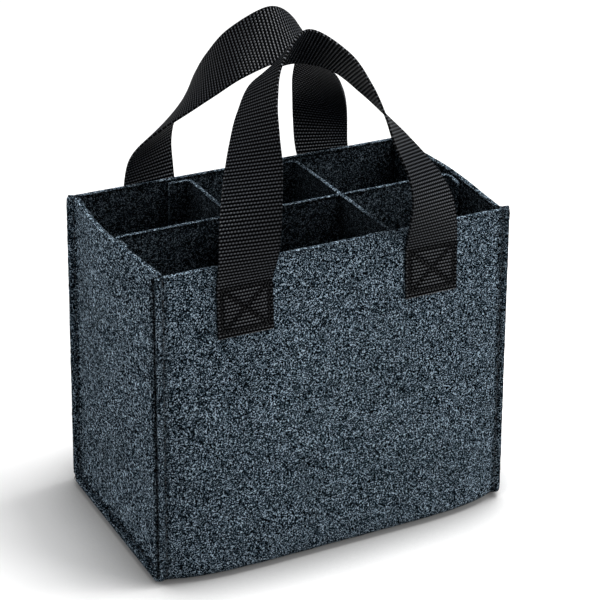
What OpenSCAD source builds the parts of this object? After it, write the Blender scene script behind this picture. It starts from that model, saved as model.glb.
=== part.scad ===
// Open felt carrier with six cells: sewn felt panels, cross-lapped dividers and two webbing handles.
// The origin is the middle of the underside. X runs along the wide front, -Y is the front, +Z is up.

/* [Body] */
// Outer width of the body, from side panel to side panel
body_w = 260; // [230:1:330]
// Outer depth of the body, from front panel to back panel
body_d = 156; // [130:1:210]
// Height of the body, from the table to the rim
body_h = 228; // [170:1:280]
// How far the front and back panels bow out at the bottom
front_bow = 10; // [0:0.5:12]
// How far the side panels bow out at the rim
side_bow = 3.5; // [0:0.5:8]
// How far each wall leans in at the rim, and out at the table
wall_lean = 1.5; // [0:0.5:3]

/* [Felt and seams] */
// Thickness of the felt of the outer panels
felt_t = 4; // [3:0.25:5]
// Inner radius of the folds between the floor and the front and back panels
fold_r = 5; // [4:0.5:8]
// Radius at which a panel turns out into its seam, measured on the inner face
seam_r = 5; // [5:0.5:8]
// Width of the sewn seam that stands out past a corner
seam_w = 8; // [7:0.5:12]
// Play between two felt layers that are sewn together
seam_play = 0.3; // [0.2:0.05:0.6]

/* [Dividers] */
// Thickness of the dividers' felt
divider_t = 3.5; // [2.5:0.25:4.5]
// Length of the turned tab at a divider's end, with its bend
tab_l = 18; // [12:1:24]
// Outer radius of the bend at the root of a tab
tab_r = 6; // [5:0.5:9]
// How far the dividers' upper edges lie under the rim
rim_drop = 1.5; // [0:0.5:8]
// Play between a divider and the panel that it is sewn to or stands on
divider_play = 0.3; // [0.2:0.1:0.8]
// Play in the slots where two dividers lap
lap_play = 0.8; // [0.5:0.1:1.5]

/* [Handles] */
// Width of the webbing
webbing_w = 40; // [30:1:44]
// Thickness of the webbing
webbing_t = 1.6; // [1.2:0.1:2.4]
// Distance between the middles of a handle's two legs
leg_spacing = 140; // [120:1:160]
// Length of webbing that lies on the panel under the rim
sewn_l = 50; // [40:1:70]
// Length of it, under the rim, that isn't sewn down and lifts off the panel
loose_l = 14; // [10:1:20]
// Height of the middle line of the webbing at the handle's top, over the rim
handle_rise = 117; // [100:1:150]
// Gap between the two handles at the top
handle_gap = 5; // [4:1:25]
// Play between the sewn webbing and the felt
webbing_play = 0.2; // [0.1:0.05:0.5]

/* [Hidden] */

felt_colour = "#4a4e55";
divider_colour = "#3f434a";
webbing_colour = "#1d1e21";

// The inner faces of the panels lie this far from the middle planes
in_x = body_w / 2 - felt_t;
in_y = body_d / 2 - felt_t;
floor_z = felt_t;
// Half the play is taken from each of two sewn layers
half_play = seam_play / 2;
// A vertical seam stands out halfway between the two panels, a bottom seam lies flat on the table
wall_turn = 45;
floor_turn = 0;

// The front's bow is nearly even up to the corners and fades out from this share of the height up.
// The sides' bow is round, and more of it is toward the back by this share
front_power = 6;
side_power = 1.5;
bow_level = 0.2;
back_lean = 0.4;

// Three cells along the front and two from front to back
cross_x = in_x / 3;
divider_top = body_h - rim_drop;
divider_foot = floor_z + divider_play;
lap_z = (divider_top + divider_foot) / 2;

leg_x = leg_spacing / 2;
// The middle of the webbing's thickness at the height of the rim, if it lay flat on the panel
strap_y = body_d / 2 - wall_lean + webbing_play + webbing_t / 2;

// Straight lines across the handle's webbing, from just over the rim to the top of the arch.
// The legs turn as they rise, and the webbing turns over softly at each shoulder.
// Each row: share of the leg's distance from the middle, share of the way from the panel to the
// handle's top, share of the rise, then half the line from outer to inner edge, in half widths.
strap_lines = [
    [0.98, -0.06, 0.04, 0.99, -0.17, 0.03],
    [0.96, -0.05, 0.19, 0.93, -0.35, 0.11],
    [0.90, 0.06, 0.33, 0.83, -0.53, 0.18],
    [0.79, 0.27, 0.48, 0.70, -0.68, 0.26],
    [0.70, 0.46, 0.61, 0.50, -0.80, 0.36],
    [0.58, 0.67, 0.75, 0.30, -0.86, 0.46],
    [0.38, 0.88, 0.90, 0.12, -0.84, 0.57],
    [0.00, 1.00, 1.00, 0.00, -0.62, 0.76]];
// The handles' middle lines stay this far from the middle plane, which leaves the gap between them
handle_offset = handle_gap / 2 + webbing_t / 2 - strap_lines[len(strap_lines) - 1][4] * webbing_w / 2;
// Steps between two neighbouring lines, in the sewn ends, and across the webbing
strap_steps = 5;
sewn_steps = 4;
strap_cols = 2;

// Steps of the grids of points
wall_cols = 12;
wall_rows = 9;
floor_rows = 6;
fold_steps = 8;
bend_steps = 4;
seam_steps = 2;
web_steps = 8;

function smooth(t) = let (u = max(0, min(1, t))) u * u * (3 - 2 * u);
function clamp1(t) = max(-1, min(1, t));
function spaced(from, to, steps) = [for (k = [0 : steps]) from + (to - from) * k / steps];

// What the cells hold pushes the front and back out near the floor, and the sides out near the rim
function lean(z) = wall_lean * (1 - 2 * z / body_h);
function front_out(u, z) = lean(z)
    + front_bow * (1 - pow(abs(u), front_power)) * (1 - smooth((z / body_h - bow_level) / (1 - bow_level)));
function side_out(v, z) = lean(z)
    + side_bow * pow(1 - v * v, side_power) * (1 + back_lean * v) * smooth(z / body_h);
function bowed(p) = let (u = clamp1(p[0] / in_x), v = clamp1(p[1] / in_y))
    [p[0] + pow(u, 3) * side_out(v, p[2]), p[1] + pow(v, 3) * front_out(u, p[2]), p[2]];

// A line that runs straight, turns by an angle round a virtual corner at radius r, and runs on.
// s is the distance from the point that lies "before" ahead of the corner.
// The result is how far it got straight on, and how far out to the side.
function turned(s, before, angle, r) = let (
    cut = r * tan(angle / 2),
    start = before - cut,
    arc = angle > 0 ? r * angle * PI / 180 : 0,
    bend = arc > 0 ? max(0, min(1, (s - start) / arc)) * angle : 0,
    rest = max(0, s - start - arc))
    [min(s, start) + r * sin(bend) + rest * cos(angle),
     r * (1 - cos(bend)) + rest * sin(angle)];

// Distances along a turned edge, from the start of its bend zone to the seam's edge
function turn_stops(before) =
    concat(spaced(0, 2 * before, bend_steps), [for (k = [1 : seam_steps])
        2 * before + (seam_w - before) * k / seam_steps]);

// A sheet of even thickness t on one side of a grid of points
function grid_normal(g, j, i) = let (
    a = g[j][min(i + 1, len(g[0]) - 1)] - g[j][max(i - 1, 0)],
    b = g[min(j + 1, len(g) - 1)][i] - g[max(j - 1, 0)][i],
    n = cross(a, b)) n / norm(n);

module sheet(g, t, lift = 0) {
    rows = len(g);
    cols = len(g[0]);
    count = rows * cols;
    near = [for (j = [0 : rows - 1]) for (i = [0 : cols - 1]) g[j][i] + lift * grid_normal(g, j, i)];
    far = [for (j = [0 : rows - 1]) for (i = [0 : cols - 1])
        g[j][i] + (lift + t) * grid_normal(g, j, i)];
    border = concat(
        [for (i = [0 : cols - 1]) i],
        [for (j = [1 : rows - 1]) j * cols + cols - 1],
        [for (i = [1 : cols - 1]) count - 1 - i],
        [for (j = [1 : rows - 2]) (rows - 1 - j) * cols]);
    skins = [for (j = [0 : rows - 2]) for (i = [0 : cols - 2]) let (
        a = j * cols + i, b = a + 1, c = b + cols, d = a + cols)
        each [[a, b, c], [a, c, d], [count + a, count + c, count + b], [count + a, count + d, count + c]]];
    rim = [for (k = [0 : len(border) - 1]) let (a = border[k], b = border[(k + 1) % len(border)])
        each [[a, count + a, count + b], [a, count + b, b]]];
    polyhedron(concat(near, far), concat(skins, rim));
}

// The inner face's path down the back, across the floor and up the front: [y, z, way out y, way out z]
function fold_arc(side) = [for (k = [0 : fold_steps]) let (a = 90 * k / fold_steps)
    [side * (in_y - fold_r + fold_r * cos(a)), floor_z + fold_r - fold_r * sin(a), side * cos(a), -sin(a)]];
function reversed(list) = [for (k = [len(list) - 1 : -1 : 0]) list[k]];
function wall_path(side) = [for (k = [0 : wall_rows - 1])
    [side * in_y, body_h + (floor_z + fold_r - body_h) * k / wall_rows, side, 0]];
function floor_path() = [for (k = [1 : floor_rows - 1])
    [(in_y - fold_r) * (1 - 2 * k / floor_rows), floor_z, 0, -1]];
function wrap_path() = concat(wall_path(1), fold_arc(1), floor_path(),
    reversed(fold_arc(-1)), reversed(wall_path(-1)));

// A seam's own turn goes from the walls' to the floor's along the fold
function turn_at(down) = wall_turn + (floor_turn - wall_turn) * smooth(down);

// One row across the wrap panel: seam, wall and seam
function wrap_row(s) = let (
    angle = turn_at(-s[3]),
    stops = [for (d = turn_stops(fold_r)) turned(d, fold_r, angle, seam_r)],
    edge = [for (q = stops) [in_x - fold_r + q[0], q[1]]],
    wall = [for (x = spaced(-(in_x - fold_r), in_x - fold_r, wall_cols)) [x, 0]],
    row = concat([for (q = reversed(edge)) [-q[0], q[1]]],
        [for (k = [1 : wall_cols - 1]) wall[k]], edge))
    [for (q = row) bowed([q[0], s[0] + q[1] * s[2], s[1] + q[1] * s[3]])];

module wrap_panel() {
    color(felt_colour) sheet([for (s = wrap_path()) wrap_row(s)], felt_t - half_play, half_play);
}

// A side panel: its three sewn edges turn out along the wrap panel's edge. At a bottom corner
// the grid's square is pulled round the corner in rings.
function side_point(a, b, y_side) = let (
    ring = max(a, b),
    share = ring == 0 ? 0 : a >= b ? 0.5 * b / ring : 1 - 0.5 * a / ring,
    way = 90 * share,
    q = turned(ring, fold_r, 90 - turn_at(sin(way)), seam_r))
    bowed([-in_x - q[1], y_side * (in_y - fold_r + q[0] * cos(way)), floor_z + fold_r - q[0] * sin(way)]);
function side_cell(y, a, y_side, z, b) = let (
    q = turned(b > 0 ? b : a, fold_r, b > 0 ? 90 - floor_turn : 90 - wall_turn, seam_r))
    a > 0 && b > 0 ? side_point(a, b, y_side)
    : a > 0 ? bowed([-in_x - q[1], y_side * (in_y - fold_r + q[0]), z])
    : b > 0 ? bowed([-in_x - q[1], y, floor_z + fold_r - q[0]])
    : bowed([-in_x, y, z]);
function side_cols() = let (stops = turn_stops(fold_r)) concat(
    [for (k = [len(stops) - 1 : -1 : 1]) [0, stops[k], -1]],
    [for (y = spaced(fold_r - in_y, in_y - fold_r, web_steps)) [y, 0, 1]],
    [for (k = [1 : len(stops) - 1]) [0, stops[k], 1]]);
function side_rows() = let (stops = turn_stops(fold_r)) concat(
    [for (z = spaced(body_h, floor_z + fold_r, wall_rows)) [z, 0]],
    [for (k = [1 : len(stops) - 1]) [0, stops[k]]]);

module side_panel() {
    grid = [for (r = side_rows()) [for (c = side_cols()) side_cell(c[0], c[1], c[2], r[0], r[1])]];
    color(felt_colour) sheet(grid, felt_t - half_play, half_play);
}
module left_side_panel() { side_panel(); }
module right_side_panel() { mirror([1, 0, 0]) side_panel(); }

// A divider's outer face seen from above: tab, bend, web, bend, tab. reach is half its length.
function divider_path(reach) = let (
    bend = [for (k = [0 : bend_steps]) let (a = 90 * k / bend_steps)
        [reach - tab_r + tab_r * sin(a), tab_r * cos(a) - tab_r]],
    edge = concat(bend, [[reach, -(tab_l + tab_r) / 2], [reach, -tab_l]]),
    inset = reach - tab_r - fold_r)
    concat([for (p = reversed(edge)) [-p[0], p[1]]],
        [for (a = spaced(-inset, inset, web_steps)) [a, 0]], edge);
// The foot is cut off at both ends, to clear the folds of the floor
function foot_at(a, reach) = abs(a) > reach - tab_r - fold_r ? floor_z + fold_r + 1 : divider_foot;
function divider_rows(reach) = [for (k = [0 : wall_rows]) [for (p = divider_path(reach))
    [p[0], p[1], divider_top + (foot_at(p[0] * 1.001, reach) - divider_top) * k / wall_rows]]];

module long_divider() {
    reach = in_x - divider_play;
    slot = divider_t + lap_play;
    color(divider_colour) difference() {
        sheet([for (row = divider_rows(reach)) [for (p = row)
            bowed([-p[0], p[1] + divider_t / 2, p[2]])]], divider_t);
        for (x = [-cross_x, cross_x])
            translate([x - slot / 2, -divider_t * 2, lap_z])
                cube([slot, divider_t * 4, body_h]);
    }
}

module cross_divider(x) {
    reach = in_y - divider_play;
    slot = divider_t + lap_play;
    color(divider_colour) difference() {
        sheet([for (row = divider_rows(reach)) [for (p = row)
            bowed([x + p[1] + divider_t / 2, p[0], p[2]])]], divider_t);
        translate([x - divider_t * 2, -slot / 2, 0])
            cube([divider_t * 4, slot, lap_z + lap_play]);
    }
}
module left_cross_divider() { cross_divider(-cross_x); }
module right_cross_divider() { cross_divider(cross_x); }

// A handle's webbing
function strap_line(row) = let (
    m = [-leg_x * row[0], -strap_y + (strap_y - handle_offset) * row[1], body_h + handle_rise * row[2]],
    g = [row[3], row[4], row[5]] * webbing_w / 2)
    [m - g, m + g];
// A smooth curve through b and c, with a and d as the neighbours that it heads from and to
function blend(a, b, c, d, t) = b + t * (c - a) / 2
    + t * t * (a - 2.5 * b + 2 * c - d / 2) + t * t * t * (1.5 * (b - c) + (d - a) / 2);
function mirrored_line(l) = [for (p = l) [-p[0], p[1], p[2]]];
// The curve starts where the sewing ends, and heads straight up the panel there
function strap_guides() = concat([for (z = [2, 1]) sewn_line(body_h - z * loose_l)],
    [for (row = strap_lines) strap_line(row)]);
function half_arch() = let (g = strap_guides(), n = len(g), full = concat(g, [mirrored_line(g[n - 2])]))
    [for (k = [1 : n - 2]) for (t = [0 : strap_steps - 1])
        blend(full[k - 1], full[k], full[k + 1], full[k + 2], t / strap_steps)];
function sewn_line(z) = [for (x = [-leg_x - webbing_w / 2, webbing_w / 2 - leg_x])
    [x, -strap_y - wall_lean - front_out(clamp1(x / in_x), z), z]];
function half_strap() = concat(
    [for (k = [0 : sewn_steps - 1]) sewn_line(body_h - sewn_l + (sewn_l - loose_l) * k / sewn_steps)],
    half_arch());

function across(line) = [for (s = spaced(0, 1, strap_cols)) line[0] + (line[1] - line[0]) * s];

module handle() {
    half = half_strap();
    top = strap_line(strap_lines[len(strap_lines) - 1]);
    lines = concat(half, [top], [for (l = reversed(half)) mirrored_line(l)]);
    color(webbing_colour) sheet([for (l = lines) across(l)], webbing_t, -webbing_t / 2);
}
module front_handle() { handle(); }
module back_handle() { mirror([0, 1, 0]) handle(); }

wrap_panel();
left_side_panel();
right_side_panel();
long_divider();
left_cross_divider();
right_cross_divider();
front_handle();
back_handle();
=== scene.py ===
import bpy
import numpy as np
from mathutils import Matrix


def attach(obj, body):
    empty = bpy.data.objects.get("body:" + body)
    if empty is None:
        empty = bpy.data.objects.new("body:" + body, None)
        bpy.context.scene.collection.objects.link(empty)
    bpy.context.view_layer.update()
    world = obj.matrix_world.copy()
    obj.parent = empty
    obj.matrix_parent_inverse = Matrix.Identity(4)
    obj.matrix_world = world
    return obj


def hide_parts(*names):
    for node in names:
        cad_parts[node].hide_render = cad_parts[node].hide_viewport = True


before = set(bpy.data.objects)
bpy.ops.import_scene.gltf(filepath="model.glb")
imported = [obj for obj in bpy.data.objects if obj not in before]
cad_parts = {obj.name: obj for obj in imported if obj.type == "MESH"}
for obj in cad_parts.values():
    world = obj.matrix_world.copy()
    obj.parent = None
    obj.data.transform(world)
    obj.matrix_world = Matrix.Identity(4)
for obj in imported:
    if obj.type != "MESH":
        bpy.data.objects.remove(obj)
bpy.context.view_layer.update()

# The wrap panel: one length of charcoal melange felt, pressed from grey and near-black fibres,
# that comes down the back, runs under as the floor and goes up the front. Its long edges turn
# out a little and are sewn face to face with the side panels' edges. Cut edges are left raw.
width, depth, height = 0.260, 0.156, 0.228
felt, fold_radius, seam_radius, seam_width, seam_play = 0.004, 0.005, 0.005, 0.008, 0.0003
front_bow, side_bow, wall_lean = 0.010, 0.0055, 0.0015
inner_x, inner_y = width / 2 - felt, depth / 2 - felt
flange = fold_radius + seam_width
cut_edge, mesh_step, seam_cells = 0.0005, 0.003, 18
seam_lean, corner_trim = np.radians(16), 0.15
# The last of these is how far from the cut edge the painted shade along a seam is deepest.
stitch_in, stitch_step, stitch_depth, shade_band_in = 0.0042, 0.0038, 0.0011, 0.0044


def smooth(t):
    """Zero to one with no slope at either end: u squared times three less two u."""
    u = np.clip(t, 0, 1)
    return u * u * (3 - 2 * u)


def lean(z):
    """A wall leans in at the rim and as far out at the table, in a straight line."""
    return wall_lean * (1 - 2 * z / height)


def front_out(u, z):
    """How far the front and back stand out: their lean, and a bow that is nearly even across, with
    one less the sixth power of u, and fades out from a fifth of the height up to the rim."""
    return lean(z) + front_bow * (1 - u ** 6) * (1 - smooth((z / height - 0.2) / 0.8))


def side_out(v, z):
    """How far the sides stand out: their lean, and a bow that is most at the rim, behind the middle."""
    return lean(z) + side_bow * (1 - v * v) ** 1.5 * (1 + 0.4 * v) * smooth(z / height)


def bowed(x, y, z):
    """Points pushed out along x by the cube of their share of the half width, and along y likewise."""
    u, v = np.clip(x / inner_x, -1, 1), np.clip(y / inner_y, -1, 1)
    return np.stack([x + u ** 3 * side_out(v, z), y + v ** 3 * front_out(u, z), z + 0 * x], -1)


def turned(s, before, angle, radius):
    """A line that runs straight, bends by an angle on an arc and runs on: how far along, how far out."""
    start = before - radius * np.tan(angle / 2)
    arc = np.maximum(radius * angle, 1e-9)
    bend = np.clip((s - start) / arc, 0, 1) * angle
    rest = np.maximum(s - start - radius * angle, 0)
    return (np.minimum(s, start) + radius * np.sin(bend) + rest * np.cos(angle),
            radius * (1 - np.cos(bend)) + rest * np.sin(angle))


def seam_turn(down):
    """A seam stands out a little from the front and back up the walls and lies level along the floor."""
    return seam_lean * (1 - smooth(down))


def ripple(points, longest, shortest, seed, waves=48):
    """Soft unevenness: the mean of plane waves of many lengths and ways, about -1 to 1."""
    rng = np.random.default_rng(seed)
    way = rng.normal(size=(waves, 3))
    way /= np.linalg.norm(way, axis=1)[:, None]
    length = np.exp(rng.uniform(np.log(shortest), np.log(longest), waves))
    phase = points @ (way * (2 * np.pi / length)[:, None]).T + rng.uniform(0, 2 * np.pi, waves)
    return np.sin(phase).mean(-1) * np.sqrt(waves) / 1.6


def grid_normals(grid):
    """Unit normals of a grid of points: the cross product of its steps along and across."""
    n = np.cross(np.gradient(grid, axis=1), np.gradient(grid, axis=0))
    return n / np.linalg.norm(n, axis=-1, keepdims=True)


def cloth_shell(name, grid, low, high, keep=None, edge=cut_edge, fray=0.0002, uv=None, sewn=None, seed=1):
    """A closed sheet from low to high along a grid's normals. Only kept cells are made, and every open
    border gets a cut edge: three rows of points that stand out by a half sine, roughened by ripple."""
    rows, cols = grid.shape[:2]
    keep = np.ones((rows - 1, cols - 1), bool) if keep is None else keep
    normal = grid_normals(grid)
    near, far = grid + normal * np.asarray(low)[..., None], grid + normal * np.asarray(high)[..., None]
    cell = (grid[:-1, :-1] + grid[1:, :-1] + grid[:-1, 1:] + grid[1:, 1:]) / 4
    total, count = np.zeros_like(grid), np.zeros((rows, cols, 1))
    for dj, di in ((0, 0), (0, 1), (1, 0), (1, 1)):
        part = (slice(dj, rows - 1 + dj), slice(di, cols - 1 + di))
        total[part] += cell * keep[..., None]
        count[part] += keep[..., None]
    out = grid - total / np.maximum(count, 1)
    out -= normal * (out * normal).sum(-1, keepdims=True)
    out /= np.maximum(np.linalg.norm(out, axis=-1, keepdims=True), 1e-9)
    levels = [near]
    for share in (0.2, 0.5, 0.8):
        row = near + (far - near) * share
        bulge = edge * np.sin(np.pi * share) + fray * ripple(row, 0.006, 0.0018, seed + int(9 * share))
        levels.append(row + out * bulge[..., None])
    levels.append(far)
    index = np.arange(rows * cols).reshape(rows, cols)
    skin = np.stack([index[:-1, :-1], index[:-1, 1:], index[1:, 1:], index[1:, :-1]], -1)[keep]
    faces = [skin + 4 * rows * cols, skin[:, ::-1]]
    pad = np.pad(keep, 1)
    borders = []
    for a, b, other in ((index[:-1, :-1], index[:-1, 1:], pad[:-2, 1:-1]),
                        (index[:-1, 1:], index[1:, 1:], pad[1:-1, 2:]),
                        (index[1:, 1:], index[1:, :-1], pad[2:, 1:-1]),
                        (index[1:, :-1], index[:-1, :-1], pad[1:-1, :-2])):
        open_side = keep & ~other
        borders.append(np.stack([a[open_side], b[open_side]], -1))
    edges = np.concatenate(borders)
    for level in range(4):
        lower, upper = edges + level * rows * cols, edges + (level + 1) * rows * cols
        faces.append(np.stack([lower[:, 1], lower[:, 0], upper[:, 0], upper[:, 1]], -1))
    faces = np.concatenate(faces)
    points = np.concatenate([level.reshape(-1, 3) for level in levels])
    used, packed = np.unique(faces, return_inverse=True)
    mesh = bpy.data.meshes.new(name)
    mesh.from_pydata(points[used], [], packed.reshape(-1, 4).tolist())
    if uv is not None:
        flat = np.tile(uv.reshape(-1, 2), (5, 1))[used]
        layer = mesh.uv_layers.new(name="cloth")
        loops = np.empty(len(mesh.loops), np.int32)
        mesh.loops.foreach_get("vertex_index", loops)
        layer.data.foreach_set("uv", flat[loops].astype(np.float32).ravel())
    # This share runs from one at the near face to none at the far face, and a felt finish darkens the near
    # face by it as painted shade; the cut share marks the cut edge.
    for key, shares in (("inner_face_shade", (1, 0.8, 0.5, 0.2, 0)), ("cut", (0, 1, 1, 1, 0))):
        layer = mesh.attributes.new(key, "FLOAT", "POINT")
        layer.data.foreach_set("value", np.repeat(shares, rows * cols)[used].astype(np.float32))
    # The sewn mask goes out as an attribute, by which a finish darkens seams and stitch lines as painted
    # shade.
    if sewn is not None:
        layer = mesh.attributes.new("sewn", "FLOAT", "POINT")
        layer.data.foreach_set("value", np.tile(sewn.ravel(), 5)[used].astype(np.float32))
    mesh.polygons.foreach_set("use_smooth", np.ones(len(mesh.polygons), bool))
    mesh.update()
    piece = bpy.data.objects.new(name, mesh)
    bpy.context.scene.collection.objects.link(piece)
    return piece


def stitch_dip(gap, along, depth):
    """How far thread pulls felt in: a bell across the line at a set distance from the cut edge,
    deepest where a stitch goes through and shallower half way to the next."""
    pulled = 0.65 + 0.35 * np.cos(2 * np.pi * along / stitch_step)
    return depth * np.exp(-((gap - stitch_in) / 0.0014) ** 2) * pulled


def painted_seam_shade(gap, spread):
    """How deep the painted shade along a seam's groove is: a bell of a given spread about the line of
    stitches.
    """
    return np.exp(-((gap - shade_band_in) / spread) ** 2)


def felt_finish(name, level, inner, raw, stretch, seed):
    """Melange felt: a grain of matted clumps, set over a ramp from near-black to pale fibres, with
    single curved fibres where a noise crosses its middle value, and a bump from the same grain. The
    inner face is darkened by a given share as painted shade, the cut edge is made paler by a given
    factor, and a band along each seam is darkened as painted shade in its groove."""
    material = bpy.data.materials.new(name)
    material.use_nodes = True
    tree = material.node_tree
    node, link = tree.nodes.new, tree.links.new
    shader = tree.nodes["Principled BSDF"]
    place = node("ShaderNodeTexCoord")
    shift = node("ShaderNodeMapping")
    shift.inputs["Location"].default_value = (seed * 0.37, seed * 0.21, seed * 0.53)
    shift.inputs["Scale"].default_value = stretch
    link(place.outputs["Object"], shift.inputs["Vector"])

    def noise(scale, detail, roughness, distortion):
        """Noise in lumps of about one metre over the scale."""
        n = node("ShaderNodeTexNoise")
        n.inputs["Scale"].default_value = scale
        n.inputs["Detail"].default_value = detail
        n.inputs["Roughness"].default_value = roughness
        n.inputs["Distortion"].default_value = distortion
        link(shift.outputs["Vector"], n.inputs["Vector"])
        return n.outputs["Fac"]

    def maths(operation, a, b):
        """One sum, product or other step of two values."""
        m = node("ShaderNodeMath")
        m.operation = operation
        for socket, value in zip(m.inputs, (a, b)):
            if isinstance(value, (int, float)):
                socket.default_value = value
            else:
                link(value, socket)
        return m.outputs[0]

    def steps(value, low, high, to_low=0.0, to_high=1.0):
        """Value mapped from low..high to to_low..to_high and held at the ends."""
        m = node("ShaderNodeMapRange")
        link(value, m.inputs["Value"])
        for key, number in zip(("From Min", "From Max", "To Min", "To Max"), (low, high, to_low, to_high)):
            m.inputs[key].default_value = number
        return m.outputs["Result"]

    def fibres(scale, thin, patch):
        """Thin curved lines where a noise passes its middle, kept only in patches of another."""
        line = maths("ABSOLUTE", maths("SUBTRACT", noise(scale, 1.0, 0.5, 1.2), 0.5), 0)
        where = steps(noise(patch, 1.0, 0.5, 0.0), 0.48, 0.58)
        return maths("MULTIPLY", steps(line, 0.0, thin, 1.0, 0.0), where)

    grain = noise(1020, 1.0, 0.7, 0.6)
    fuzz = noise(1550, 0.0, 0.5, 0.0)
    clump = noise(230, 1.0, 0.5, 0.3)
    cloud = noise(45, 1.0, 0.5, 0.0)
    mottle = maths("MULTIPLY", steps(grain, 0.33, 0.67), 0.6)
    mottle = maths("ADD", mottle, maths("MULTIPLY", steps(fuzz, 0.30, 0.70), 0.4))
    mottle = maths("ADD", mottle, steps(clump, 0.35, 0.65, -0.03, 0.03))
    mottle = maths("ADD", mottle, maths("MULTIPLY", fibres(300, 0.07, 420), 0.24))
    mottle = maths("SUBTRACT", mottle, maths("MULTIPLY", fibres(270, 0.05, 380), 0.12))
    ramp = node("ShaderNodeValToRGB")
    stops = ramp.color_ramp.elements
    for at, shade, red, blue in (
            (0.34, 0.003, 0.30, 1.90), (0.47, 0.03, 0.40, 1.75), (0.56, 0.14, 0.50, 1.50),
            (0.64, 0.55, 0.62, 1.36), (0.73, 1.7, 0.72, 1.27), (0.84, 4.0, 0.80, 1.18)):
        stop = stops.new(at)
        stop.color = (red * shade * level, shade * level, blue * shade * level, 1)
    stops.remove(stops[0])
    stops.remove(stops[-1])
    link(mottle, ramp.inputs[0])
    tone = node("ShaderNodeMix")
    tone.data_type = "RGBA"
    tone.blend_type = "MULTIPLY"
    tone.inputs[0].default_value = 1.0
    link(ramp.outputs[0], tone.inputs[6])
    # The near face and a band along each seam are darkened here as painted shade; the cut edge is made paler.
    inner_face_shade, cut, sewn = (node("ShaderNodeAttribute") for _ in range(3))
    inner_face_shade.attribute_name, cut.attribute_name, sewn.attribute_name = "inner_face_shade", "cut", "sewn"
    shade = steps(cloud, 0.3, 0.7, 0.88, 1.12)
    for part, share in ((inner_face_shade, inner), (cut, raw), (sewn, 0.45)):
        shade = maths("MULTIPLY", shade, steps(part.outputs["Fac"], 0, 1, 1.0, share))
    grey = node("ShaderNodeCombineColor")
    for socket in grey.inputs:
        link(shade, socket)
    link(grey.outputs[0], tone.inputs[7])
    link(tone.outputs[2], shader.inputs["Base Color"])
    link(steps(fuzz, 0.3, 0.7, 0.86, 1.0), shader.inputs["Roughness"])
    shader.inputs["Specular IOR Level"].default_value = 0.03
    bump = node("ShaderNodeBump")
    bump.inputs["Strength"].default_value = 0.8
    bump.inputs["Distance"].default_value = 0.0007
    link(maths("ADD", grain, maths("MULTIPLY", fuzz, 0.5)), bump.inputs["Height"])
    link(bump.outputs["Normal"], shader.inputs["Normal"])
    return material


def trimmed(beyond, turn):
    """A seam is cut narrower round a bottom corner: by the square of the sine of twice the turn."""
    kept = 1 - corner_trim * np.sin(2 * turn) ** 2
    return np.minimum(beyond, fold_radius) + np.maximum(beyond - fold_radius, 0) * kept


def wrap_grid(across, step):
    """The inner face: a path down the back, round a fold, across the floor, round and up the front,
    with every point's way out, and across it the wall with a turned seam at each end."""
    wall = np.arange(height, felt + fold_radius, -step)
    turn = np.radians(np.linspace(0, 90, 15))
    flat = np.linspace(inner_y - fold_radius, fold_radius - inner_y, 46)[1:-1]
    y = np.concatenate([0 * wall + inner_y, inner_y - fold_radius + fold_radius * np.cos(turn)])
    z = np.concatenate([wall, felt + fold_radius - fold_radius * np.sin(turn)])
    out_y, out_z = np.concatenate([0 * wall + 1, np.cos(turn)]), np.concatenate([0 * wall, -np.sin(turn)])
    y, z = np.concatenate([y, flat, -y[::-1]]), np.concatenate([z, 0 * flat + felt, z[::-1]])
    out_y = np.concatenate([out_y, 0 * flat, -out_y[::-1]])
    out_z = np.concatenate([out_z, 0 * flat - 1, out_z[::-1]])
    beyond = np.maximum(np.abs(across) - (inner_x - fold_radius), 0)
    beyond = trimmed(beyond[None], np.arcsin(np.clip(-out_z, 0, 1))[:, None])
    along, out = turned(beyond, fold_radius, seam_turn(-out_z)[:, None], seam_radius)
    x = np.sign(across) * (np.minimum(np.abs(across), inner_x - fold_radius) + along)
    return bowed(x, y[:, None] + out * out_y[:, None], z[:, None] + out * out_z[:, None])


reach = inner_x - fold_radius + flange
across = np.concatenate([np.linspace(-reach, fold_radius - inner_x, seam_cells + 1)[:-1],
                         np.linspace(fold_radius - inner_x, inner_x - fold_radius, 83),
                         np.linspace(inner_x - fold_radius, reach, seam_cells + 1)[1:]])
grid = wrap_grid(across, mesh_step)
gap = reach - np.abs(across)[None] + 0 * grid[..., 0]
travel = np.cumsum(np.r_[0, np.linalg.norm(np.diff(grid[:, 60], axis=0), axis=1)])[:, None] + 0 * gap
outer = felt - stitch_dip(gap, travel, stitch_depth) + 0.00016 * ripple(grid, 0.03, 0.006, 3)
outer = np.where(grid[..., 2] < felt + 0.0005, np.minimum(outer, felt), outer)
# A band along each seam is darkened as painted shade in its groove, from this mask.
wrap_panel = cloth_shell("wrap_felt", grid, seam_play / 2, outer, sewn=painted_seam_shade(gap, 0.0034), seed=11)
# The wrap's near face is darkened to about a quarter as painted shade.
charcoal_felt = felt_finish("charcoal_felt", 0.137, 0.27, 1.8, (1, 1, 1), 1)
wrap_panel.data.materials.append(charcoal_felt)
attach(wrap_panel, "root")
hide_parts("wrap_panel")

# The side panels: one felt panel for each end. Its two upright edges and its bottom edge turn out
# and are sewn face to face with the wrap panel's edge, the bottom seam flat on the table.


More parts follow.
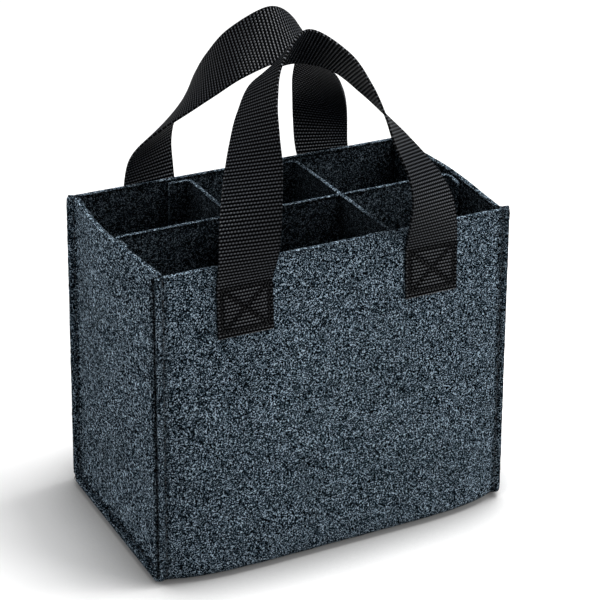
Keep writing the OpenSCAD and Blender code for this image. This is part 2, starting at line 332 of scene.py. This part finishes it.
def side_grid(step):
    """The left side's inner face: a flat wall whose edges turn out. At each bottom corner the square
    of the grid is pulled round the corner in rings, and the seam there comes down to level."""
    beyond = np.linspace(0, flange, seam_cells + 1)[1:]
    core_y, core_z = inner_y - fold_radius, felt + fold_radius
    y = np.arange(-core_y, core_y + step / 2, step)
    y = np.linspace(-core_y, core_y, len(y))
    z = np.linspace(height, core_z, 73)
    a = np.concatenate([beyond[::-1], 0 * y, beyond])
    side = np.concatenate([0 * beyond - 1, 0 * y + 1, 0 * beyond + 1])
    a, side, y = (q[None] for q in (a, side, np.concatenate([0 * beyond - core_y, y, 0 * beyond + core_y])))
    b, z = np.concatenate([0 * z, beyond])[:, None], np.concatenate([z, 0 * beyond + core_z])[:, None]
    ring = np.maximum(a, b)
    share = np.where(a >= b, 0.5 * b / np.maximum(ring, 1e-9), 1 - 0.5 * a / np.maximum(ring, 1e-9))
    way = np.radians(90) * np.where(ring > 0, share, 0)
    bend = np.radians(90) - seam_turn(np.sin(way))
    along, out = turned(trimmed(ring, way), fold_radius, bend, seam_radius)
    return bowed(-inner_x - out, y + side * along * np.cos(way) * (a > 0), z - along * np.sin(way)), ring


# The sides use a lighter copy of the same felt, painted light that makes up for the weaker lamp on the sides;
# its near face is darkened to a fifth as painted shade.
side_felt_painted_light = felt_finish("side_felt_painted_light", 0.185, 0.2, 1.1, (1, 0.68, 0.88), 4)
grid, ring = side_grid(mesh_step)
gap = flange - ring
travel = grid[..., 1] * (np.abs(grid[..., 2]) < 0.01) + grid[..., 2]
outer = felt - stitch_dip(gap, travel, stitch_depth) + 0.00016 * ripple(grid, 0.03, 0.006, 5)
# A band along each side seam is darkened as painted shade in its groove.
side_seam_shade = 0.6 * painted_seam_shade(gap, 0.0024)
for name, way in (("left", 1), ("right", -1)):
    placed = grid * (way, 1, 1)
    side_panel = cloth_shell(name + "_side_felt_painted_light", placed[:, ::way], seam_play / 2, outer[:, ::way],
                             sewn=side_seam_shade[:, ::way], seed=21 + way)
    side_panel.data.materials.append(side_felt_painted_light)
    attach(side_panel, "root")
    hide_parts(name + "_side_panel")

# The dividers: a long felt strip slotted from the top and two cross strips slotted from below, lapped
# half way up. Their ends are folded to tabs and sewn down on the panels.
divider, divider_play, lap_play, tab, tab_radius = 0.0035, 0.0003, 0.0008, 0.018, 0.006
divider_top, divider_foot = height - 0.0015, felt + divider_play
lap_height = (divider_top + divider_foot) / 2


def divider_grid(reach, split):
    """Seen from above: a tab, a quarter bend, the web, a bend and a tab, carried down from the top
    edge to the foot, which is cut off at both ends to clear the folds of the floor. Returns the
    distances along and across, and the height."""
    turn = np.radians(np.linspace(0, 90, 9))
    inset = reach - tab_radius - fold_radius
    end_a = np.concatenate([reach - tab_radius + tab_radius * np.sin(turn), np.full(6, reach)])
    end_c = np.concatenate([tab_radius * np.cos(turn) - tab_radius,
                            np.linspace(-tab_radius, -tab, 7)[1:]])
    web = np.concatenate([np.linspace(a, b, max(2, int((b - a) / mesh_step)))[:-1] for a, b in
                          zip([-inset, *split], [*split, inset])] + [[inset]])
    a = np.concatenate([-end_a[::-1], web, end_a])
    c = np.concatenate([end_c[::-1], 0 * web, end_c])
    upper = np.linspace(divider_top, lap_height, 37)
    foot = np.where(np.abs(a) > inset + 1e-6, felt + fold_radius + 0.001, divider_foot)[None]
    lower = np.linspace(0, 1, 37)[1:, None]
    z = np.concatenate([upper[:, None] + 0 * foot, lap_height + (foot - lap_height) * lower])
    return a[None] + 0 * z, c[None] + 0 * z, z


cross_x = inner_x / 3
slot_half = (divider + lap_play) / 2
# The dividers use the same felt set much darker, painted shade for the inside of the cells; their cut top
# edges are lifted back to about the outer felt's tone.
divider_felt = felt_finish("divider_felt", 0.041, 1.0, 3.6, (1, 1, 1), 7)
a, c, z = divider_grid(inner_x - divider_play, [-cross_x - slot_half, -cross_x + slot_half,
                                                cross_x - slot_half, cross_x + slot_half])
grid = bowed(-a, c + divider / 2, z)
middle = (a[:-1, :-1] + a[1:, 1:]) / 2
keep = ~((np.abs(np.abs(middle) - cross_x) < slot_half) & ((z[:-1, :-1] + z[1:, 1:]) / 2 > lap_height))
long_divider = cloth_shell("long_divider_felt", grid, 0 * z,
                           divider + 0.00014 * ripple(grid, 0.03, 0.007, 8), keep=keep, seed=31)
long_divider.data.materials.append(divider_felt)
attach(long_divider, "root")
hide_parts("long_divider")
for name, x in (("left", -cross_x), ("right", cross_x)):
    a, c, z = divider_grid(inner_y - divider_play, [-slot_half, slot_half])
    grid = bowed(x + c + divider / 2, a, z)
    middle = (a[:-1, :-1] + a[1:, 1:]) / 2
    keep = ~((np.abs(middle) < slot_half) & ((z[:-1, :-1] + z[1:, 1:]) / 2 < lap_height))
    cross_divider = cloth_shell(name + "_cross_divider_felt", grid, 0 * z,
                                divider + 0.00014 * ripple(grid, 0.03, 0.007, 9), keep=keep, seed=41)
    cross_divider.data.materials.append(divider_felt)
    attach(cross_divider, "root")
    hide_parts(name + "_cross_divider")

# The handles: two lengths of black polypropylene webbing, 40 mm wide, woven in fine floats. Each is
# sewn flat on the panel's outside, and turns over softly at both shoulders on its way to the top.
webbing, webbing_thick, webbing_play = 0.040, 0.0016, 0.0002
leg_x, sewn, loose, rise, handle_gap = 0.070, 0.050, 0.014, 0.117, 0.005
strap_y = depth / 2 - wall_lean + webbing_play + webbing_thick / 2
strap_lines = np.array([
    [0.98, -0.06, 0.04, 0.99, -0.17, 0.03],
    [0.96, -0.05, 0.19, 0.93, -0.35, 0.11],
    [0.90, 0.06, 0.33, 0.83, -0.53, 0.18],
    [0.79, 0.27, 0.48, 0.70, -0.68, 0.26],
    [0.70, 0.46, 0.61, 0.50, -0.80, 0.36],
    [0.58, 0.67, 0.75, 0.30, -0.86, 0.46],
    [0.38, 0.88, 0.90, 0.12, -0.84, 0.57],
    [0.00, 1.00, 1.00, 0.00, -0.62, 0.76]])
offset = handle_gap / 2 + webbing_thick / 2 - strap_lines[-1, 4] * webbing / 2


def strap_grid(per_line, cells):
    """The webbing's middle surface. It lies straight down the bowed panel where it is sewn. Over that,
    straight lines across it are given up to the top; each edge is a smooth curve through their
    ends, and the surface is ruled between the edges."""
    def panel_line(z):
        """The webbing's line across the panel at a height, the panel's bow followed at both edges."""
        x = np.array([-leg_x - webbing / 2, webbing / 2 - leg_x])[None] + 0 * z[:, None]
        y = -strap_y - wall_lean - front_out(x / inner_x, z[:, None])
        return np.stack([x, y, z[:, None] + 0 * x], -1)

    share, lean_in, up = strap_lines[:, 0], strap_lines[:, 1], strap_lines[:, 2]
    m = np.stack([-leg_x * share, -strap_y + (strap_y - offset) * lean_in, height + rise * up], -1)
    g = strap_lines[:, 3:] * webbing / 2
    line = np.stack([m - g, m + g], 1)
    under = panel_line(np.array([height - 2 * loose, height - loose]))
    full = np.concatenate([under, line, line[-2:-1] * (-1, 1, 1)])
    p, q, r, s = full[:-3, None], full[1:-2, None], full[2:-1, None], full[3:, None]
    t = (np.arange(per_line) / per_line)[None, :, None, None]
    curve = (q + t * (r - p) / 2 + t ** 2 * (p - 2.5 * q + 2 * r - s / 2)
             + t ** 3 * (1.5 * (q - r) + (s - p) / 2)).reshape(-1, 2, 3)
    half = np.concatenate([panel_line(np.arange(height - sewn, height - loose - 1e-6, 0.0015)), curve])
    lines = np.concatenate([half, line[-1:], half[::-1] * (-1, 1, 1)])
    s = np.linspace(0, 1, cells + 1)[None, :, None]
    return lines[:, :1] * (1 - s) + lines[:, 1:] * s


def webbing_finish(name):
    """Woven webbing from its own UV map in metres: raised floats 2.2 mm apart in rows of 2.4 mm, each
    row set off by half a step, as the product of two cosines and a row term, over a dark ground. Only
    the floats have a gloss, and the lines of the crossed box are darkened as painted shade in their grooves."""
    material = bpy.data.materials.new(name)
    material.use_nodes = True
    tree = material.node_tree
    node, link = tree.nodes.new, tree.links.new
    shader = tree.nodes["Principled BSDF"]
    place = node("ShaderNodeUVMap")
    place.uv_map = "cloth"
    parts = node("ShaderNodeSeparateXYZ")
    link(place.outputs[0], parts.inputs[0])

    def maths(operation, a, b=0.0):
        """One sum, product or other step of two values."""
        m = node("ShaderNodeMath")
        m.operation = operation
        for socket, value in zip(m.inputs, (a, b)):
            if isinstance(value, (int, float)):
                socket.default_value = value
            else:
                link(value, socket)
        return m.outputs[0]

    across = maths("MULTIPLY", parts.outputs[0], 2 * np.pi / 0.0022)
    along = maths("MULTIPLY", parts.outputs[1], np.pi / 0.0024)
    hump = maths("MULTIPLY", maths("COSINE", across), maths("COSINE", along))
    row = maths("MULTIPLY", maths("COSINE", maths("MULTIPLY", along, 2.0)), 1.7)
    weave = maths("ADD", maths("MULTIPLY", maths("ADD", hump, row), 0.19), 0.5)
    sewn = node("ShaderNodeAttribute")
    sewn.attribute_name = "sewn"
    # The lines of the crossed box are darkened here as painted shade.
    weave = maths("MULTIPLY", weave, maths("SUBTRACT", 1.0, maths("MULTIPLY", sewn.outputs["Fac"], 0.38)))
    ramp = node("ShaderNodeValToRGB")
    ramp.color_ramp.elements[0].position = 0.56
    ramp.color_ramp.elements[0].color = (0.0008, 0.0009, 0.0012, 1)
    ramp.color_ramp.elements[1].position = 0.95
    ramp.color_ramp.elements[1].color = (0.052, 0.060, 0.074, 1)
    link(weave, ramp.inputs[0])
    link(ramp.outputs[0], shader.inputs["Base Color"])
    shader.inputs["Roughness"].default_value = 0.42
    gloss = node("ShaderNodeMapRange")
    for key, number in zip(("From Min", "From Max", "To Min", "To Max"), (0.5, 0.9, 0.02, 0.8)):
        gloss.inputs[key].default_value = number
    link(weave, gloss.inputs["Value"])
    link(gloss.outputs["Result"], shader.inputs["Specular IOR Level"])
    bump = node("ShaderNodeBump")
    bump.inputs["Strength"].default_value = 1.0
    bump.inputs["Distance"].default_value = 0.0006
    link(weave, bump.inputs["Height"])
    link(bump.outputs["Normal"], shader.inputs["Normal"])
    return material


box_sides, box_ends = (-leg_x - 0.0170, -leg_x + 0.0170), (height - 0.0462, height - 0.0158)
stitch_sink = 0.0005


def box_dip(x, z):
    """How far the thread pulls the webbing in: a bell across each line of a crossed box."""
    (left, right), (low, high) = box_sides, box_ends
    u, v = np.abs(x), z
    across_box, up_box = (u + right) / (right - left), (v - low) / (high - low)
    inside_x = np.clip(np.abs(across_box - 0.5) - 0.5, 0, None) * (right - left)
    inside_z = np.clip(np.abs(up_box - 0.5) - 0.5, 0, None) * (high - low)
    frame_x = np.hypot(np.minimum(np.abs(u + right), np.abs(u + left)), inside_z)
    frame_z = np.hypot(np.minimum(np.abs(v - low), np.abs(v - high)), inside_x)
    slope = (high - low) / np.hypot(high - low, right - left)
    cross_a = np.abs(across_box - up_box) * (right - left) * slope
    cross_b = np.abs(1 - across_box - up_box) * (right - left) * slope
    cross = np.hypot(np.minimum(cross_a, cross_b), inside_x + inside_z)
    return stitch_sink * np.exp(-(np.minimum(np.minimum(frame_x, frame_z), cross) / 0.0014) ** 2)


grid = strap_grid(14, 32)
length = np.cumsum(np.r_[0, np.linalg.norm(np.diff(grid[:, 16], axis=0), axis=1)])
uv = np.stack(np.broadcast_arrays(np.linspace(-webbing / 2, webbing / 2, 33)[None], length[:, None]), -1)
black_webbing = webbing_finish("black_webbing")
for name, way in (("front", 1), ("back", -1)):
    placed = grid * (1, way, 1)
    dip = box_dip(placed[..., 0], placed[..., 2])
    thick = webbing_thick / 2 - dip
    # The dip, scaled to one, is the mask of the painted shade along the box's lines.
    handle = cloth_shell(name + "_webbing", placed[:, ::way], -webbing_thick / 2 + 0 * thick,
                         thick[:, ::way], edge=0.0003, fray=0.00005, uv=uv[:, ::way],
                         sewn=(dip / stitch_sink)[:, ::way], seed=51 + way)
    handle.data.materials.append(black_webbing)
    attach(handle, "root")
    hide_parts(name + "_handle")

# The sewing: polyester thread, charcoal along the seams and black on the handles. A crossed box holds
# each handle end down on the panel.
stitch_pitch, stitch_long, thread, thread_depth = 0.0034, 0.0027, 0.00034, 0.0009


def stitch_run(points, normals):
    """One row of stitches along a path: at even steps a short bar whose ends dive into the cloth. Five
    rings of six points each follow the path's direction, with a radius that narrows to the ends."""
    travel = np.r_[0, np.cumsum(np.linalg.norm(np.diff(points, axis=0), axis=1))]
    at = np.arange(stitch_pitch / 2, travel[-1], stitch_pitch)
    middle, normal, ahead = (np.stack([np.interp(s, travel, q[:, k]) for k in range(3)], -1)
                             for s, q in ((at, points), (at, normals), (at + 0.0005, points)))
    way = ahead - middle
    way[-1] = way[-2]
    way /= np.linalg.norm(way, axis=1)[:, None]
    normal = normal / np.linalg.norm(normal, axis=1)[:, None]
    side = np.cross(way, normal)
    spot = np.array([-0.5, -0.32, 0, 0.32, 0.5])[None, :, None, None] * stitch_long
    rise = np.array([-0.9, 0.25, 0.5, 0.25, -0.9])[None, :, None, None] * thread
    fat = np.array([0.5, 0.9, 1, 0.9, 0.5])[None, :, None, None] * thread
    turn = np.radians(np.arange(0, 360, 60))[None, None, :, None]
    way, normal, side, middle = (q[:, None, None] for q in (way, normal, side, middle))
    points = middle + way * spot + normal * (rise + fat * np.cos(turn)) + side * fat * np.sin(turn)
    return points.reshape(-1, 3)


def stitch_mesh(name, runs):
    """All the stitches of some runs as one mesh: four bands of six faces and two end caps each."""
    points = np.concatenate([stitch_run(*run) for run in runs])
    ring = np.arange(6)
    band = np.stack([ring, (ring + 1) % 6, (ring + 1) % 6 + 6, ring + 6], -1)
    faces = np.concatenate([band + 6 * k for k in range(4)])
    starts = np.arange(0, len(points), 30)
    quads = (faces[None] + starts[:, None, None]).reshape(-1, 4)
    caps = np.concatenate([starts[:, None] + ring[::-1], starts[:, None] + 24 + ring])
    mesh = bpy.data.meshes.new(name)
    mesh.from_pydata(points, [], quads.tolist() + caps.tolist())
    mesh.polygons.foreach_set("use_smooth", np.ones(len(mesh.polygons), bool))
    mesh.update()
    piece = bpy.data.objects.new(name, mesh)
    bpy.context.scene.collection.objects.link(piece)
    return piece


def thread_finish(name, tone):
    """Twisted thread: fine slanted bands of two tones from a wave, with a bump and a soft gloss."""
    material = bpy.data.materials.new(name)
    material.use_nodes = True
    node, link = material.node_tree.nodes.new, material.node_tree.links.new
    shader = material.node_tree.nodes["Principled BSDF"]
    place, twist, ramp, bump = (node("ShaderNode" + kind)
                                for kind in ("TexCoord", "TexWave", "ValToRGB", "Bump"))
    twist.bands_direction = "DIAGONAL"
    twist.inputs["Scale"].default_value = 700
    link(place.outputs["Object"], twist.inputs["Vector"])
    link(twist.outputs["Fac"], ramp.inputs[0])
    ramp.color_ramp.elements[0].color = (tone * 0.4, tone * 0.42, tone * 0.5, 1)
    ramp.color_ramp.elements[1].color = (tone, tone * 1.05, tone * 1.2, 1)
    link(ramp.outputs[0], shader.inputs["Base Color"])
    shader.inputs["Roughness"].default_value = 0.5
    shader.inputs["Specular IOR Level"].default_value = 0.2
    bump.inputs["Distance"].default_value = 0.0001
    link(twist.outputs["Fac"], bump.inputs["Height"])
    link(bump.outputs["Normal"], shader.inputs["Normal"])
    return material


black_thread = thread_finish("black_thread", 0.014)
charcoal_thread = thread_finish("charcoal_thread", 0.036)
seam_column = int(round(stitch_in / flange * seam_cells))


def surface_line(points, normals, rise):
    """A path over a grid's line at a height along its normals, with those normals."""
    return points + normals * rise[..., None], normals


grid = wrap_grid(across, mesh_step)
normal = grid_normals(grid)
flat = 0 * grid[..., 0]
rise = felt - stitch_dip(reach - np.abs(across)[None] + flat, flat, thread_depth)
runs = []
for column in (seam_column, len(across) - 1 - seam_column):
    runs.append(surface_line(grid[:, column], normal[:, column], rise[:, column]))
wrap_sewing = stitch_mesh("wrap_seam_thread", runs)
grid, ring = side_grid(mesh_step)
normal = grid_normals(grid)
rise = felt - stitch_dip(flange - ring, 0 * ring, thread_depth)
runs = []
for way in (1, -1):
    for rows, columns in ((slice(0, 76), seam_column), (slice(0, 76), grid.shape[1] - 1 - seam_column),
                          (grid.shape[0] - 1 - seam_column, slice(seam_column, -seam_column))):
        points, along_normals = surface_line(grid[rows, columns], normal[rows, columns], rise[rows, columns])
        runs.append((points * (way, 1, 1), along_normals * (way, 1, 1)))
side_sewing = stitch_mesh("side_seam_thread", runs)
for sewing in (wrap_sewing, side_sewing):
    sewing.data.materials.append(charcoal_thread)
    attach(sewing, "root")
left, right = box_sides
low, high = box_ends
for name, way in (("front", 1), ("back", -1)):
    runs = []
    for start, end in (((left, low), (right, low)), ((right, low), (right, high)),
                       ((right, high), (left, high)), ((left, high), (left, low)),
                       ((left, low), (right, high)), ((left, high), (right, low))):
        step = np.linspace(0, 1, 12)
        x, z = start[0] + (end[0] - start[0]) * step, start[1] + (end[1] - start[1]) * step
        y = -strap_y - wall_lean - front_out(x / inner_x, z) - webbing_thick / 2 + stitch_sink
        for hand in (1, -1):
            runs.append((np.stack([hand * x, way * y, z], -1), np.tile((0.0, -way, 0.0), (12, 1))))
    sewing = stitch_mesh(name + "_handle_thread", runs)
    sewing.data.materials.append(black_thread)
    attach(sewing, "root")

# The floor: a pale table, which the camera sees a little brighter than it is lit, so that it is white
# where nothing shades it and keeps the object's soft shadow. Near the object an ambient occlusion
# reading darkens its colour and its lift, a painted contact shadow.
corners = np.array([[-4, -4, 0], [4, -4, 0], [4, 4, 0], [-4, 4, 0]], float)
table_mesh = bpy.data.meshes.new("table")
table_mesh.from_pydata(corners, [], [[0, 1, 2, 3]])
table = bpy.data.objects.new("table", table_mesh)
bpy.context.scene.collection.objects.link(table)
pale = bpy.data.materials.new("pale_table")
pale.use_nodes = True
pale_shader = pale.node_tree.nodes["Principled BSDF"]
pale_shader.inputs["Base Color"].default_value = (0.86, 0.86, 0.86, 1)
pale_shader.inputs["Roughness"].default_value = 0.9
pale_shader.inputs["Specular IOR Level"].default_value = 0.0
pale_shader.inputs["Emission Color"].default_value = (1, 1, 1, 1)
table_ray = pale.node_tree.nodes.new("ShaderNodeLightPath")
table_lift = pale.node_tree.nodes.new("ShaderNodeMath")
table_lift.operation = "MULTIPLY"
table_lift.inputs[1].default_value = 0.24
# A painted contact shadow: the ambient occlusion reading darkens the table's colour and its lift near the
# object.
contact = pale.node_tree.nodes.new("ShaderNodeAmbientOcclusion")
contact.inputs["Distance"].default_value = 0.066
painted_shadow_curve = pale.node_tree.nodes.new("ShaderNodeMapRange")
for key, number in zip(("From Min", "From Max", "To Min", "To Max"), (0.42, 0.95, 0.26, 1.0)):
    painted_shadow_curve.inputs[key].default_value = number
pale.node_tree.links.new(contact.outputs["AO"], painted_shadow_curve.inputs["Value"])
painted_contact_shadow = pale.node_tree.nodes.new("ShaderNodeMix")
painted_contact_shadow.data_type = "RGBA"
painted_contact_shadow.inputs[6].default_value = (0, 0, 0, 1)
table_tone = pale.node_tree.nodes.new("ShaderNodeMix")
table_tone.data_type = "RGBA"
table_tone.inputs[6].default_value = (0.45, 0.45, 0.45, 1)
table_tone.inputs[7].default_value = (0.94, 0.94, 0.94, 1)
pale.node_tree.links.new(table_ray.outputs["Is Camera Ray"], table_tone.inputs[0])
pale.node_tree.links.new(table_tone.outputs[2], painted_contact_shadow.inputs[7])
pale.node_tree.links.new(painted_shadow_curve.outputs["Result"], painted_contact_shadow.inputs[0])
pale.node_tree.links.new(painted_contact_shadow.outputs[2], pale_shader.inputs["Base Color"])
lift_under_painted_shadow = pale.node_tree.nodes.new("ShaderNodeMath")
lift_under_painted_shadow.operation = "MULTIPLY"
pale.node_tree.links.new(table_ray.outputs["Is Camera Ray"], table_lift.inputs[0])
pale.node_tree.links.new(table_lift.outputs[0], lift_under_painted_shadow.inputs[0])
pale.node_tree.links.new(painted_shadow_curve.outputs["Result"], lift_under_painted_shadow.inputs[1])
pale.node_tree.links.new(lift_under_painted_shadow.outputs[0], pale_shader.inputs["Emission Strength"])
table_mesh.materials.append(pale)

# The light: soft lamps overhead, in front on the right and low on the left, and an even pale room. The
# camera sees the room as white, and glossy surfaces mirror it dimly.
world = bpy.data.worlds.new("studio")
world.use_nodes = True
bpy.context.scene.world = world
room = world.node_tree
ray = room.nodes.new("ShaderNodeLightPath")
seen = room.nodes.new("ShaderNodeMath")
seen.operation = "MAXIMUM"
room.links.new(ray.outputs["Is Camera Ray"], seen.inputs[0])
room.links.new(ray.outputs["Is Transmission Ray"], seen.inputs[1])
strength = room.nodes.new("ShaderNodeMapRange")
strength.inputs["To Min"].default_value = 0.40
strength.inputs["To Max"].default_value = 1.0
room.links.new(seen.outputs[0], strength.inputs["Value"])
mirrored = room.nodes.new("ShaderNodeMapRange")
mirrored.inputs["To Min"].default_value = 1.0
mirrored.inputs["To Max"].default_value = 0.25
room.links.new(ray.outputs["Is Glossy Ray"], mirrored.inputs["Value"])
dimmed = room.nodes.new("ShaderNodeMath")
dimmed.operation = "MULTIPLY"
room.links.new(strength.outputs["Result"], dimmed.inputs[0])
room.links.new(mirrored.outputs["Result"], dimmed.inputs[1])
room.links.new(dimmed.outputs[0], room.nodes["Background"].inputs["Strength"])
room.nodes["Background"].inputs["Color"].default_value = (1, 1, 1, 1)
for name, power, size, place in (("top_lamp", 42, 0.8, (0.75, -0.1, 2.4)),
                                 ("front_lamp", 12.3, 0.9, (1.0, -0.9, 0.85)),
                                 ("left_lamp", 7.0, 1.0, (-2.0, 0.5, 0.7))):
    lamp = bpy.data.lights.new(name, "AREA")
    lamp.energy, lamp.size = power, size
    lamp_object = bpy.data.objects.new(name, lamp)
    bpy.context.scene.collection.objects.link(lamp_object)
    back = np.array(place) - (0, 0, 0.12)
    back /= np.linalg.norm(back)
    right = np.cross((0, 0, 1), back)
    right /= np.linalg.norm(right)
    up = np.cross(back, right)
    lamp_object.matrix_world = Matrix([[right[k], up[k], back[k], place[k]] for k in range(3)]
                                      + [[0, 0, 0, 1]])

# The camera: a long lens from the front left and above, as the photograph was taken, with a slight roll.
azimuth, elevation, roll = np.radians(-27.241), np.radians(25.609), np.radians(0.498)
target, distance = np.array([0.04044, 0.0, 0.58133]) * width, 5.5401 * width
back = np.array([np.sin(azimuth) * np.cos(elevation), -np.cos(azimuth) * np.cos(elevation), np.sin(elevation)])
level = np.cross((0, 0, 1), back)
level /= np.linalg.norm(level)
upright = np.cross(back, level)
right = np.cos(roll) * level + np.sin(roll) * upright
up = np.cos(roll) * upright - np.sin(roll) * level
place = target + back * distance
lens = bpy.data.cameras.new("camera")
lens.sensor_width, lens.lens = 36, 2034 / 600 * 36
lens.clip_start, lens.clip_end = 0.05, 50
camera = bpy.data.objects.new("camera", lens)
bpy.context.scene.collection.objects.link(camera)
camera.matrix_world = Matrix([[right[k], up[k], back[k], place[k]] for k in range(3)] + [[0, 0, 0, 1]])
bpy.context.scene.camera = camera
bpy.context.scene.view_settings.view_transform = "Standard"
